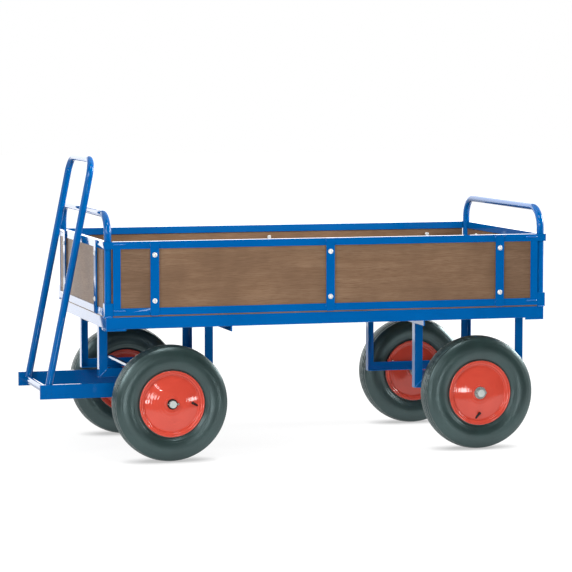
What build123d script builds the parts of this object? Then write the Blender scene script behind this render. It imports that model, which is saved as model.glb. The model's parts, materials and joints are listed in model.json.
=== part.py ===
# Turntable trolley: an open box bed with ply walls and end hoops on four pneumatic wheels.
# The front axle turns under the bed on a ball turntable and is pulled by a hinged hoop handle.
# X runs along the trolley with the handle at -X, Y runs across it and Z is up from the floor.
# Sizes are millimetres. The trolley is drawn about the middle of its bed and moved when it is written.
from build123d import *
import os

# Bed frame of steel angle, with cross members under the deck
bed_length = 1580.0
bed_width = 790.0
bed_underside = 461.0
bed_angle = 40.0
bed_angle_wall = 4.0
cross_depth = 55.0
cross_flange = 40.0
cross_wall = 5.0
front_cross_offset = 214.0
gusset_leg = 70.0
gusset_thickness = 7.0
deck_thickness = 9.0
deck_gap = 7.0

# Walls: ply panels in frames of angle and flat bar
wall_height = 256.0
wall_inset = 1.0
end_overhang = 3.0
ply_thickness = 12.0
ply_foot = 5.0
rail_width = 25.0
rail_wall = 3.0
upright_width = 26.0
strap_width = 30.0
strap_thickness = 5.0
side_strap_spacing = 622.0
end_strap_spacing = 530.0
wall_bolt_radius = 4.0
wall_bolt_head_radius = 8.0
wall_bolt_head = 4.0
wall_bolt_round = 2.8
wall_nut_radius = 7.5
wall_nut = 6.5
low_bolt_inset = 49.0
high_bolt_inset = 46.0
hole_gap = 0.2

# End hoops of bent tube in square corner sockets
hoop_tube = 25.0
hoop_wall = 2.0
hoop_rise = 91.5
hoop_bend = 75.0
leg_gap = 0.2
socket_size = 29.0
socket_wall = 1.8
socket_height = 48.0
socket_gap = 0.5

# Running gear
front_axle_offset = 562.0
rear_axle_offset = 552.0
track = 716.0
axle_radius = 12.5
axle_overhang = 14.0
frame_length = 408.0
frame_angle = 30.0
frame_wall = 4.0
rear_frame_spacing = 536.0
front_frame_spacing = 300.0
axle_seat = 1.5

# Turntable between the bed and the front frames
ring_radius = 140.0
ring_width = 36.0
ring_thickness = 11.0
ring_gap = 3.0
ball_radius = 6.0
ball_count = 24
ball_gap = 0.3
upper_plate_size = 340.0
upper_plate_thickness = 6.0
lower_plate_length = 320.0
lower_plate_thickness = 5.0
front_leg_rise = 12.0
swing_gap = 1.0
bearer_width = 40.0
bearer_wall = 3.0
bearer_spacing = 220.0
king_radius = 8.0
king_head_radius = 13.5
king_head = 10.0
king_nut = 13.0
king_nut_gap = 0.3
king_tail = 4.0

# Drawbars and handle
drawbar_height = 50.0
drawbar_thickness = 10.0
drawbar_spacing = 400.0
drawbar_reach = 420.0
drawbar_sink = 5.5
tie_width = 40.0
tie_thickness = 15.0
tie_spacing = 156.0
brace_width = 25.0
brace_thickness = 10.0
brace_chamfer = 5.0
brace_spacing = 187.0
pivot_setback = 31.0
pivot_radius = 10.0
pivot_tube_radius = 13.5
pivot_side_gap = 1.5
handle_tube = 25.0
handle_wall = 2.0
handle_inset = 1.0
handle_length = 811.0
handle_lean = 11.5
handle_bend = 58.0

# Wheels: tyre, inner tube, two pressed rim halves, hub and bearings
tyre_radius = 200.0
tyre_width = 100.0
tread_width = 74.0
tread_wall = 9.0
flank_wall = 7.0
shoulder_drop = 5.5
flank_radius = 154.0
tread_groove_width = 3.0
tread_groove_depth = 3.0
tread_groove_pitch = 14.0
tread_groove_count = 5
bead_width = 10.0
rim_radius = 101.5
rim_half_width = 36.0
rim_flange_radius = 114.0
rim_sheet = 2.5
rim_lip = 4.0
rim_well_radius = 92.0
rim_well_station = 26.0
dome_radius = 60.0
dome_rise = 5.5
dome_top = 34.0
tube_wall = 3.0
tube_gap = 0.3
valve_radius = 4.5
valve_root_station = 15.0
valve_tip_radius = 69.0
valve_tip_station = 41.0
valve_tip_lift = 13.0
hub_radius = 24.0
hub_bore = 17.5
hub_length = 80.0
bearing_length = 16.0
running_gap = 0.05
end_gap = 0.4
front_washer_radius = 18.0
rear_washer_radius = 21.5
washer_thickness = 3.0
collar_radius = 20.0
collar_width = 12.0
pin_radius = 1.6
pin_length = 34.0
pin_loop = 2.6

# Where the valve of each wheel stands, in degrees round the axle from +X
valve_angles = {"front_left": 9.0, "front_right": 140.0, "rear_left": 100.0, "rear_right": 205.0}

# Sizes that follow from the ones above
half_length = bed_length / 2
half_width = bed_width / 2
bed_top = bed_underside + bed_angle
under_flange = bed_top - bed_angle_wall
axle_height = tyre_radius
axle_top = axle_height + axle_radius
front_axle_x = -front_axle_offset
rear_axle_x = rear_axle_offset
frame_half = frame_length / 2
wall_top = bed_top + wall_height
rail_foot = bed_top + ply_foot
side_face = half_width - wall_inset
end_face = half_length + end_overhang
hoop_height = wall_top + hoop_rise
hoop_radius = hoop_tube / 2
leg_y = side_face - leg_gap - hoop_radius
leg_x = end_face - leg_gap - hoop_radius
side_panel_half = leg_x - socket_size / 2 - socket_gap
end_panel_half = leg_y - socket_size / 2 - socket_gap
lower_plate_top = under_flange - cross_depth - swing_gap
lower_plate_foot = lower_plate_top - lower_plate_thickness
front_leg_top = lower_plate_top + front_leg_rise
ball_height = lower_plate_top + ring_thickness + ring_gap / 2
upper_ring_foot = lower_plate_top + ring_thickness + ring_gap
upper_plate_foot = upper_ring_foot + ring_thickness
upper_plate_top = upper_plate_foot + upper_plate_thickness
drawbar_foot = axle_top - drawbar_sink
drawbar_top = drawbar_foot + drawbar_height
tie_top = drawbar_top + tie_thickness
front_frame_face = front_frame_spacing / 2 + frame_angle / 2
drawbar_front = front_axle_x - drawbar_reach
pivot_x = drawbar_front + pivot_setback
handle_spacing = drawbar_spacing - 2 * (pivot_side_gap + handle_inset) - handle_tube
pivot_z = drawbar_foot + drawbar_height / 2
wheel_y = track / 2
hub_half = hub_length / 2
axle_half = wheel_y + hub_half + axle_overhang
washer_face = wheel_y + hub_half + end_gap
pin_station = washer_face + washer_thickness + pin_radius
bolt_heights = (rail_foot + low_bolt_inset, wall_top - high_bolt_inset)
overall_front = drawbar_front
overall_rear = end_face + rail_wall + strap_thickness + wall_bolt_head
x_shift = -(overall_front + overall_rear) / 2


def block(x, y, z):
    # A box between three (low, high) pairs
    pairs = (x, y, z)
    size = [high - low for low, high in pairs]
    middle = [(low + high) / 2 for low, high in pairs]
    return Pos(*middle) * Box(*size)


def rod(radius, y, x, z, bore=0.0):
    # A round bar along Y between two stations, or a tube where it has a bore
    length = y[1] - y[0]
    body = Cylinder(radius, length)
    if bore:
        body -= Cylinder(bore, length)
    return Pos(x, (y[0] + y[1]) / 2, z) * Rot(90, 0, 0) * body


def hex_prism(radius, z):
    # A hexagon bar standing on Z, with its corners on the given radius
    return Pos(0, 0, z[0]) * extrude(RegularPolygon(radius, 6), z[1] - z[0])


def both_sides(shape):
    return [shape, mirror(shape, about=Plane.XZ)]


def both_ends(shape):
    return [shape, mirror(shape, about=Plane.YZ)]


def bed_side_rail():
    # Angle with its upright leg outside and its other leg inwards at the top, under the deck
    x = (-half_length, half_length)
    upright = block(x, (half_width - bed_angle_wall, half_width), (bed_underside, bed_top))
    flange = block(x, (half_width - bed_angle, half_width), (under_flange, bed_top))
    return upright + flange


def bed_end_rail():
    # The same angle across the end, cut to fit between the side rails
    upright = block(
        (half_length - bed_angle_wall, half_length),
        (bed_angle_wall - half_width, half_width - bed_angle_wall),
        (bed_underside, under_flange),
    )
    flange = block(
        (half_length - bed_angle, half_length),
        (bed_angle - half_width, half_width - bed_angle),
        (under_flange, bed_top),
    )
    return upright + flange


def cross_member(x, flange_side, depth):
    # Angle across the bed under the side rails' flanges; its flange lies towards flange_side
    y = (bed_angle_wall - half_width, half_width - bed_angle_wall)
    foot = under_flange - depth
    web_x = sorted((x, x - flange_side * cross_wall))
    flange_x = sorted((x - flange_side * cross_wall, x + flange_side * (cross_flange - cross_wall)))
    web = block(web_x, y, (foot, under_flange))
    return web + block(flange_x, y, (under_flange - cross_wall, under_flange))


def bed_cross_members():
    # One behind the turntable and one on each side of the rear frames' legs
    tail_depth = under_flange - bed_underside
    front = cross_member(front_axle_x + front_cross_offset, 1, cross_depth)
    middle = cross_member(rear_axle_x - frame_half, 1, cross_depth)
    tail = cross_member(rear_axle_x + frame_half, -1, tail_depth)
    return [front, middle, tail]


def corner_gusset():
    # Three-cornered plate under the corner where the side and end rails meet
    corner = Polyline(
        (half_length, half_width),
        (half_length - gusset_leg, half_width),
        (half_length, half_width - gusset_leg),
        close=True,
    )
    return Pos(0, 0, bed_underside - gusset_thickness) * extrude(make_face(corner), gusset_thickness)


def deck():
    # Ply floor on the rails' flanges, inside the walls and notched round the corner sockets
    x = end_face - ply_thickness - deck_gap
    y = side_face - ply_thickness - deck_gap
    z = (bed_top, bed_top + deck_thickness)
    floor = block((-x, x), (-y, y), z)
    notch = block((side_panel_half, half_length), (end_panel_half, half_width), z)
    for corner in both_sides(notch):
        for cut in both_ends(corner):
            floor -= cut
    return floor


def corner_socket():
    # Short square tube that stands on the bed's corner and holds a hoop's leg
    outside = Rectangle(socket_size, socket_size)
    inside = Rectangle(socket_size - 2 * socket_wall, socket_size - 2 * socket_wall)
    return Pos(leg_x, leg_y, bed_top) * extrude(outside - inside, socket_height)


def bent_hoop(height, half_spacing, bend, tube, wall, foot=0.0):
    # A U of round tube in the YZ plane, legs down, from a foot height to its top bar's centre line
    path = FilletPolyline(
        (0, -half_spacing, foot),
        (0, -half_spacing, height),
        (0, half_spacing, height),
        (0, half_spacing, foot),
        radius=bend,
    )
    start = Plane(origin=(0, -half_spacing, foot), z_dir=(0, 0, 1))
    ring = Circle(tube / 2) - Circle(tube / 2 - wall)
    return sweep(start * ring, path=path)


def end_hoop(end):
    # Hoop at one end of the bed, its legs standing on the bed's corners
    return Pos(end * leg_x, 0, 0) * bent_hoop(hoop_height, leg_y, hoop_bend, hoop_tube, hoop_wall, bed_top)


def strap_places(spacing, count):
    return [(index - (count - 1) / 2) * spacing for index in range(count)]


def wall_bolt_holes(face, spacing, count):
    # Bars that cut the bolt holes through a strap and the panel behind it
    y = (face - ply_thickness, face + rail_wall + strap_thickness)
    radius = wall_bolt_radius + hole_gap
    return [rod(radius, y, x, z) for x in strap_places(spacing, count) for z in bolt_heights]


def wall_frame(face, rail_half, panel_half, spacing, count):
    # Top channel, bottom flat and straps that hold a panel, welded into one frame.
    # It is drawn along X with its panel's outer face at the given Y.
    y = (face, face + rail_wall)
    inner = face - ply_thickness
    rail_z = (wall_top - rail_width, wall_top)
    top = block((-rail_half, rail_half), y, rail_z)
    cap_y = (inner - rail_wall, face + rail_wall)
    cap = block((-panel_half, panel_half), cap_y, (wall_top - rail_wall, wall_top))
    lining = block((-panel_half, panel_half), (inner - rail_wall, inner), rail_z)
    bottom = block((-panel_half, panel_half), y, (rail_foot, rail_foot + rail_width))
    frame = top + cap + lining + bottom
    strap_y = (face + rail_wall, face + rail_wall + strap_thickness)
    for x in strap_places(spacing, count):
        across = (x - strap_width / 2, x + strap_width / 2)
        frame += block(across, strap_y, (rail_foot, wall_top))
    for hole in wall_bolt_holes(face, spacing, count):
        frame -= hole
    return frame


def wall_panel(face, panel_half, spacing, count):
    # Ply sheet that stands on the bed's rail and reaches up into the top channel.
    # Behind the straps the bolts bridge the space that the rails leave.
    y = (face - ply_thickness, face)
    panel = block((-panel_half, panel_half), y, (bed_top, wall_top - rail_wall))
    for hole in wall_bolt_holes(face, spacing, count):
        panel -= hole
    return panel


def wall_bolts(face, spacing, count):
    # Round-headed bolts through the straps and the panel, with nuts inside the bed
    inner = face - ply_thickness
    outer = face + rail_wall + strap_thickness
    bolt = rod(wall_bolt_radius, (inner - wall_nut, outer), 0, 0)
    dome = Pos(0, outer, 0) * Rot(-90, 0, 0) * Cylinder(
        wall_bolt_head_radius, wall_bolt_head, align=(Align.CENTER, Align.CENTER, Align.MIN)
    )
    dome = fillet(dome.edges().group_by(Axis.Y)[-1], wall_bolt_round)
    bolt += dome
    nut = Rot(-90, 0, 0) * hex_prism(wall_nut_radius, (inner - wall_nut, inner))
    nut -= rod(wall_bolt_radius, (inner - wall_nut, inner), 0, 0)
    places = [(x, z) for x in strap_places(spacing, count) for z in bolt_heights]
    return [Pos(x, 0, z) * piece for x, z in places for piece in (bolt, nut)]


def side_wall(side):
    # Frame, panel and bolts of the wall on one side of the bed; its frame has an upright at each end
    turn = Rot(0, 0, 0 if side > 0 else 180)
    frame = wall_frame(side_face, leg_x + hoop_radius, side_panel_half, side_strap_spacing, 3)
    upright_x = (side_panel_half - upright_width, side_panel_half)
    for upright in both_ends(block(upright_x, (side_face, side_face + rail_wall), (rail_foot, wall_top))):
        frame += upright
    panel = wall_panel(side_face, side_panel_half, side_strap_spacing, 3)
    bolts = wall_bolts(side_face, side_strap_spacing, 3)
    return turn * frame, turn * panel, [turn * bolt for bolt in bolts]


def end_wall(end):
    # Frame, panel and bolts of the wall at one end; its top rail covers the side walls' ends
    turn = Rot(0, 0, -90 if end > 0 else 90)
    frame = wall_frame(end_face, side_face + rail_wall, end_panel_half, end_strap_spacing, 2)
    panel = wall_panel(end_face, end_panel_half, end_strap_spacing, 2)
    bolts = wall_bolts(end_face, end_strap_spacing, 2)
    return turn * frame, turn * panel, [turn * bolt for bolt in bolts]


def axle_frame(middle_x, spacing, foot, top):
    # U of angle with mitred corners: one leg of the angle outside, the other round the U's edge
    x = (middle_x - frame_half, middle_x + frame_half)
    y = (spacing / 2 - frame_angle / 2, spacing / 2 + frame_angle / 2)
    face_y = (y[1] - frame_wall, y[1])
    inner_x = (x[0] + frame_wall, x[1] - frame_wall)
    open_x = (x[0] + frame_angle, x[1] - frame_angle)
    edge = block(x, y, (foot, top)) - block(inner_x, y, (foot + frame_wall, top))
    face = block(x, face_y, (foot, top)) - block(open_x, face_y, (foot + frame_angle, top))
    return edge + face


def rear_frame():
    # Leg frame under the bed's tail, seated on the rear axle
    legs = axle_frame(rear_axle_x, rear_frame_spacing, axle_top - axle_seat, under_flange - cross_wall)
    return legs - rod(axle_radius, (0, axle_half), rear_axle_x, axle_height)


def front_frame():
    # Leg frame on the drawbars' ties; its rear leg is cut lower, to swing under the bed's cross member
    legs = axle_frame(front_axle_x, front_frame_spacing, tie_top, front_leg_top)
    rear_x = (front_axle_x, front_axle_x + frame_half)
    return legs - block(rear_x, (0, front_frame_face), (lower_plate_top, front_leg_top))


def front_braces():
    # Flats across the front frames, lying on the upper edges of their lower rails
    x = (brace_spacing / 2 - brace_width / 2, brace_spacing / 2 + brace_width / 2)
    foot = tie_top + frame_angle
    flat = block(x, (-front_frame_face, front_frame_face), (foot, foot + brace_thickness))
    flat = chamfer(flat.edges().filter_by(Axis.Y).group_by(Axis.Z)[-1], brace_chamfer)
    return [Pos(front_axle_x, 0, 0) * brace for brace in both_ends(flat)]


def drawbar():
    # Flat bar on edge, seated on the front axle, with a hole for the handle's pivot rod
    inner = drawbar_spacing / 2
    y = (inner, inner + drawbar_thickness)
    bar = block((drawbar_front, front_axle_x + frame_half), y, (drawbar_foot, drawbar_top))
    bar -= rod(axle_radius, y, front_axle_x, axle_height)
    return bar - rod(pivot_radius, y, pivot_x, pivot_z)


def drawbar_ties():
    # Flats across the tops of the drawbars that carry the front frames
    half = drawbar_spacing / 2 + drawbar_thickness
    x = (tie_spacing / 2 - tie_width / 2, tie_spacing / 2 + tie_width / 2)
    tie = block(x, (-half, half), (drawbar_top, tie_top))
    return [Pos(front_axle_x, 0, 0) * flat for flat in both_ends(tie)]


def turntable_ring(foot):
    # Flat ring with a ball race round the middle of the face that meets the other ring
    middle = Pos(front_axle_x, 0, 0)
    annulus = Circle(ring_radius + ring_width / 2) - Circle(ring_radius - ring_width / 2)
    race = Pos(0, 0, ball_height) * Torus(ring_radius, ball_radius + ball_gap)
    return middle * (Pos(0, 0, foot) * extrude(annulus, ring_thickness) - race)


def turntable_balls():
    ball = Sphere(ball_radius)
    turn = 360.0 / ball_count
    return [
        Pos(front_axle_x, 0, ball_height) * Rot(0, 0, index * turn) * Pos(ring_radius, 0, 0) * ball
        for index in range(ball_count)
    ]


def turntable_upper_plate():
    plate = Box(upper_plate_size, upper_plate_size, upper_plate_thickness)
    plate -= Cylinder(king_radius, upper_plate_thickness)
    return Pos(front_axle_x, 0, upper_plate_foot + upper_plate_thickness / 2) * plate


def turntable_lower_plate():
    # Plate between the front frames, with arms into their legs' corners; it turns on the king bolt
    plate_half = lower_plate_length / 2
    inside_x = frame_half - frame_wall
    inside_y = front_frame_face - frame_wall
    z = (lower_plate_foot, lower_plate_top)
    plate = block((-plate_half, plate_half), (-inside_y, inside_y), z)
    for arm in both_sides(block((-inside_x, inside_x), (front_frame_face - frame_angle, inside_y), z)):
        plate += arm
    plate -= Pos(0, 0, lower_plate_foot) * extrude(Circle(king_radius + running_gap), lower_plate_thickness)
    return Pos(front_axle_x, 0, 0) * plate


def turntable_bearers():
    # Box bars across the bed, between the upper plate and the side rails' flanges
    y = (bed_angle_wall - half_width, half_width - bed_angle_wall)
    x = (bearer_spacing / 2 - bearer_width / 2, bearer_spacing / 2 + bearer_width / 2)
    hollow_x = (x[0] + bearer_wall, x[1] - bearer_wall)
    hollow_z = (upper_plate_top + bearer_wall, under_flange - bearer_wall)
    bar = block(x, y, (upper_plate_top, under_flange)) - block(hollow_x, y, hollow_z)
    return [Pos(front_axle_x, 0, 0) * bearer for bearer in both_ends(bar)]


def king_bolt():
    # Bolt down through both plates, with its nut just under the lower one
    nut_top = lower_plate_foot - king_nut_gap
    nut_foot = nut_top - king_nut
    tail = nut_foot - king_tail
    shank = Pos(0, 0, tail) * extrude(Circle(king_radius), upper_plate_top - tail)
    bolt = shank + hex_prism(king_head_radius, (upper_plate_top, upper_plate_top + king_head))
    nut = hex_prism(king_head_radius, (nut_foot, nut_top))
    nut -= Pos(0, 0, nut_foot) * extrude(Circle(king_radius), king_nut)
    return [Pos(front_axle_x, 0, 0) * piece for piece in (bolt, nut)]


def axle(x):
    # Round bar through both wheels, drilled at its ends for the split pins
    bar = rod(axle_radius, (-axle_half, axle_half), x, axle_height)
    for station in (-pin_station, pin_station):
        bar -= Pos(x, station, axle_height) * Rot(0, 90, 0) * Cylinder(pin_radius, 2 * axle_radius)
    return bar


def axle_rings(x, washer_radius):
    # A washer outside each hub and a set collar inside it
    outside = (washer_face, washer_face + washer_thickness)
    inside = wheel_y - hub_half - end_gap
    washer = rod(washer_radius, outside, x, axle_height, axle_radius)
    collar = rod(collar_radius, (inside - collar_width, inside), x, axle_height, axle_radius)
    return both_sides(washer) + both_sides(collar)


def split_pins(x):
    # Level pin through the axle's end, with its loop towards the tail
    shank = Rot(0, 90, 0) * Cylinder(pin_radius, pin_length)
    loop = Pos(pin_length / 2 + pin_loop, 0, 0) * Rot(90, 0, 0) * Torus(pin_loop, pin_radius)
    return both_sides(Pos(x, pin_station, axle_height) * (shank + loop))


def handle_pivot_rod():
    # Rod through the drawbars, flush with their outer faces
    half = drawbar_spacing / 2 + drawbar_thickness
    return rod(pivot_radius, (-half, half), pivot_x, pivot_z)


def handle_pivot_tube():
    # Tube that turns on the pivot rod between the drawbars and joins the handle's legs
    half = drawbar_spacing / 2 - pivot_side_gap
    return rod(pivot_tube_radius, (-half, half), pivot_x, pivot_z, pivot_radius + running_gap)


def handle_hoop():
    # Hoop of bent tube leaning back towards the bed, its feet shaped to the pivot tube
    hoop = Rot(0, handle_lean, 0) * bent_hoop(
        handle_length, handle_spacing / 2, handle_bend, handle_tube, handle_wall
    )
    half = drawbar_spacing / 2
    return Pos(pivot_x, 0, pivot_z) * hoop - rod(pivot_tube_radius, (-half, half), pivot_x, pivot_z)


def section_arch(tread_in, side_in):
    # Half outline of the tyre's section, set in from the outside: foot, flank, shoulder and crown
    foot = (rim_flange_radius + rim_sheet, rim_half_width - side_in)
    flank = (flank_radius, tyre_width / 2 - side_in)
    shoulder = (tyre_radius - shoulder_drop - tread_in, tread_width / 2 - side_in)
    crown = (tyre_radius - tread_in, 0)
    return foot, flank, shoulder, crown


def flipped(point):
    return (point[0], -point[1])


def arch_edges(foot, flank, shoulder, crown):
    # Three arcs over the section, from one foot to the other
    return [
        ThreePointArc(foot, flank, shoulder),
        ThreePointArc(shoulder, crown, flipped(shoulder)),
        ThreePointArc(flipped(shoulder), flipped(flank), flipped(foot)),
    ]


def closed_ring(arch, base):
    # Face between an arch and the corner points below each of its feet, turned about Y
    edges = arch_edges(*arch)
    down = Polyline(arch[0], *base)
    up = Polyline(flipped(arch[0]), *[flipped(point) for point in base])
    floor = Line(base[-1], flipped(base[-1]))
    return revolve(make_face(Curve() + edges + [down, up, floor]), axis=Axis.Y)


def tyre():
    # Carcass on the rim's bead seats, hollow for the inner tube, with grooves round its tread
    heel = (rim_radius, rim_half_width)
    toe_y = rim_half_width - bead_width
    outer = closed_ring(section_arch(0, 0), [heel])
    hollow_arch = section_arch(tread_wall, flank_wall)
    hollow = closed_ring(hollow_arch, [(rim_radius, toe_y)])
    carcass = outer - hollow
    for index in range(tread_groove_count):
        y = (index - (tread_groove_count - 1) / 2) * tread_groove_pitch
        cutter = Circle(tyre_radius) - Circle(tyre_radius - tread_groove_depth - groove_drop(y))
        groove = extrude(Plane.XZ * cutter, tread_groove_width / 2, both=True)
        carcass -= Pos(0, y, 0) * groove
    return carcass


def groove_drop(y):
    # How far the tread's crown falls away at a station beside the middle
    return shoulder_drop * (2 * y / tread_width) ** 2


def inner_tube():
    # Air tube that fills the tyre, with its valve stem through the rim
    floor_y = rim_half_width - bead_width - tube_gap
    floor_radius = rim_radius + tube_gap
    outer_arch = section_arch(tread_wall + tube_gap, flank_wall + tube_gap)
    inner_arch = section_arch(tread_wall + tube_gap + tube_wall, flank_wall + tube_gap + tube_wall)
    outer = closed_ring(outer_arch, [(floor_radius, floor_y)])
    inner = closed_ring(inner_arch, [(floor_radius + tube_wall, floor_y - tube_wall)])
    return outer - inner + valve_stem(valve_radius)


def valve_stem(radius):
    # Slanting bar from the inner tube's floor out through the rim's face, at the wheel's +X side
    root = Vector(rim_radius + tube_gap + tube_wall, valve_root_station, 0)
    tip = Vector(valve_tip_radius, valve_tip_station, valve_tip_lift)
    stem = tip - root
    return extrude(Plane(origin=root, z_dir=stem) * Circle(radius), stem.length)


def rim_half():
    # Pressed half rim: bead seat, flange with a rolled lip, shallow well and domed face
    inside = rim_radius - rim_sheet
    well_face = rim_well_station + rim_sheet
    lip_y = rim_half_width + rim_lip
    outline = [
        Polyline(
            (rim_well_radius, rim_well_station),
            (inside, rim_well_station),
            (inside, 0),
            (rim_radius, 0),
            (rim_radius, rim_half_width),
            (rim_flange_radius, rim_half_width),
            (rim_flange_radius, lip_y),
            (rim_flange_radius - rim_lip, lip_y),
            (rim_flange_radius - rim_lip, rim_half_width + rim_sheet),
            (inside, rim_half_width + rim_sheet),
            (inside, well_face),
            (rim_well_radius, well_face),
        ),
        ThreePointArc(
            (rim_well_radius, well_face),
            (dome_radius, well_face + dome_rise),
            (hub_radius, dome_top + rim_sheet),
        ),
        Line((hub_radius, dome_top + rim_sheet), (hub_radius, dome_top)),
        ThreePointArc(
            (hub_radius, dome_top),
            (dome_radius, rim_well_station + dome_rise),
            (rim_well_radius, rim_well_station),
        ),
    ]
    half = revolve(make_face(Curve() + outline), axis=Axis.Y)
    return half, half - valve_stem(valve_radius + tube_gap)


def rim():
    # Inner half, outer half with the valve's hole, and the hub tube that both are welded to
    plain, drilled = rim_half()
    hub = rod(hub_radius, (-hub_half, hub_half), 0, 0, hub_bore)
    return [mirror(plain, about=Plane.XZ), drilled, hub]


def hub_bearings():
    # A plain bearing in each end of the hub, running on the axle
    y = (hub_half - bearing_length, hub_half)
    return both_sides(rod(hub_bore, y, 0, 0, axle_radius + running_gap))


def wheel(name):
    # The pieces of one wheel, with its valve on the outer side, in their places
    x = front_axle_x if name.startswith("front") else rear_axle_x
    side = -1 if name.endswith("left") else 1
    pieces = {"tyre": [tyre()], "inner_tube": [inner_tube()], "rim": rim(), "bearings": hub_bearings()}
    turn = Rot(0, valve_angles[name], 0)
    place = Pos(x, side * wheel_y, axle_height)
    placed = {}
    for piece, solids in pieces.items():
        turned = [turn * solid for solid in solids]
        if side < 0:
            turned = [mirror(solid, about=Plane.XZ) for solid in turned]
        placed[f"{name}_{piece}"] = [place * solid for solid in turned]
    return placed


def all_nodes():
    # Every separate piece of the trolley, by name
    nodes = {
        "bed_side_rails": both_sides(bed_side_rail()),
        "bed_end_rails": both_ends(bed_end_rail()),
        "bed_cross_members": bed_cross_members(),
        "corner_gussets": [plate for half in both_sides(corner_gusset()) for plate in both_ends(half)],
        "deck": [deck()],
        "corner_sockets": [tube for half in both_sides(corner_socket()) for tube in both_ends(half)],
        "front_hoop": [end_hoop(-1)],
        "rear_hoop": [end_hoop(1)],
        "rear_frames": both_sides(rear_frame()),
        "rear_axle": [axle(rear_axle_x)],
        "rear_axle_rings": axle_rings(rear_axle_x, rear_washer_radius),
        "rear_split_pins": split_pins(rear_axle_x),
        "turntable_bearers": turntable_bearers(),
        "turntable_upper_plate": [turntable_upper_plate()],
        "turntable_upper_ring": [turntable_ring(upper_ring_foot)],
        "king_bolt": king_bolt(),
        "turntable_balls": turntable_balls(),
        "turntable_lower_ring": [turntable_ring(lower_plate_top)],
        "turntable_lower_plate": [turntable_lower_plate()],
        "front_frames": both_sides(front_frame()),
        "front_braces": front_braces(),
        "drawbar_right": [drawbar()],
        "drawbar_left": [mirror(drawbar(), about=Plane.XZ)],
        "drawbar_ties": drawbar_ties(),
        "front_axle": [axle(front_axle_x)],
        "front_axle_rings": axle_rings(front_axle_x, front_washer_radius),
        "front_split_pins": split_pins(front_axle_x),
        "handle_pivot_rod": [handle_pivot_rod()],
        "handle_pivot_tube": [handle_pivot_tube()],
        "handle_hoop": [handle_hoop()],
    }
    walls = {
        "left_side": side_wall(-1),
        "right_side": side_wall(1),
        "front_end": end_wall(-1),
        "rear_end": end_wall(1),
    }
    for name, (frame, panel, bolts) in walls.items():
        nodes[f"{name}_frame"] = [frame]
        nodes[f"{name}_panel"] = [panel]
        nodes[f"{name}_bolts"] = bolts
    for name in valve_angles:
        nodes.update(wheel(name))
    return nodes


def write_parts(folder):
    # One STEP file for each node, with the trolley's middle moved over the origin
    os.makedirs(folder, exist_ok=True)
    for name, shapes in all_nodes().items():
        solids = [Pos(x_shift, 0, 0) * solid for shape in shapes for solid in shape.solids()]
        export_step(Compound(children=solids), os.path.join(folder, f"{name}.step"))


if __name__ == "__main__":
    write_parts("parts")
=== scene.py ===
import json
import math
import bpy
import bmesh
import numpy as np
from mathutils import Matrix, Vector


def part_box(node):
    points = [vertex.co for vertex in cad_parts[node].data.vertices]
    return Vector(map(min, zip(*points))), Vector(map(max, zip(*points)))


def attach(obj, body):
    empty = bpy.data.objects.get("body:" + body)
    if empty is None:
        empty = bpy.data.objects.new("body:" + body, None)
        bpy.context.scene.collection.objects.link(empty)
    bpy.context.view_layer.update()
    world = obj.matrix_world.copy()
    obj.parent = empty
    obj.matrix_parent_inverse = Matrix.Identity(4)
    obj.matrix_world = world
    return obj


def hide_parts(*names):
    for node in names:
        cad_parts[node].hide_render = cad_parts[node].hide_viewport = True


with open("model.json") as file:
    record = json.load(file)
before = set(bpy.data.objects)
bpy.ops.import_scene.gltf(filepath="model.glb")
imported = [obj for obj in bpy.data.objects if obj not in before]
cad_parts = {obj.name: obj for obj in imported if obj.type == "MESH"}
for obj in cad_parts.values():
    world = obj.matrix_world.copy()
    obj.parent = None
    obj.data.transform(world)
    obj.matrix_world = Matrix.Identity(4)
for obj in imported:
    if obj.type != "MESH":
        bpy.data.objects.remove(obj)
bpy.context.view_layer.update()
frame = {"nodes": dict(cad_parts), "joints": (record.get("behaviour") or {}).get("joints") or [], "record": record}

nodes = frame["nodes"]
bodyOf = {n: b for b, members in frame["record"]["behaviour"]["bodies"].items() for n in members}
slotOf = {s["node"]: s["material_slot"] for s in frame["record"]["subparts"]}
jointAt = {j["name"]: np.array(j["pos_m"]) for j in frame["joints"]}
wheelNames = ["front_left", "front_right", "rear_left", "rear_right"]
wallNames = ["left_side", "right_side", "front_end", "rear_end"]
print("frame loaded,", len(nodes), "nodes")


def cornersOf(node):
    # lowest and highest corner of a node at rest
    return [np.array(p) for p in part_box(node)]


def newObject(name, data):
    # an object of this data, linked into the scene
    thing = bpy.data.objects.new(name, data)
    bpy.context.scene.collection.objects.link(thing)
    return thing


# Node helpers for the finishes

def newFinish(name):
    # an empty finish with its shader and Object coordinates ready
    mat = bpy.data.materials.new(name)
    mat.use_nodes = True
    tree = mat.node_tree
    coords = tree.nodes.new("ShaderNodeTexCoord").outputs["Object"]
    return mat, tree, tree.nodes["Principled BSDF"], coords


def stretched(tree, coords, scale):
    # coordinates scaled along each axis; a small scale draws a pattern out that way
    node = tree.nodes.new("ShaderNodeMapping")
    node.inputs["Scale"].default_value = scale
    tree.links.new(coords, node.inputs["Vector"])
    return node.outputs["Vector"]


def noise(tree, coords, scale, detail, rough=0.55):
    # cloudy pattern from 0 to 1; a large scale makes small clouds
    node = tree.nodes.new("ShaderNodeTexNoise")
    node.inputs["Scale"].default_value = scale
    node.inputs["Detail"].default_value = detail
    node.inputs["Roughness"].default_value = rough
    tree.links.new(coords, node.inputs["Vector"])
    return node.outputs["Fac"]


def spread(tree, value, low, high, outLow=0.0, outHigh=1.0):
    # the stretch of a value from low to high, carried to the new limits
    node = tree.nodes.new("ShaderNodeMapRange")
    for socket, number in zip(("From Min", "From Max", "To Min", "To Max"), (low, high, outLow, outHigh)):
        node.inputs[socket].default_value = number
    tree.links.new(value, node.inputs["Value"])
    return node.outputs["Result"]


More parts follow.
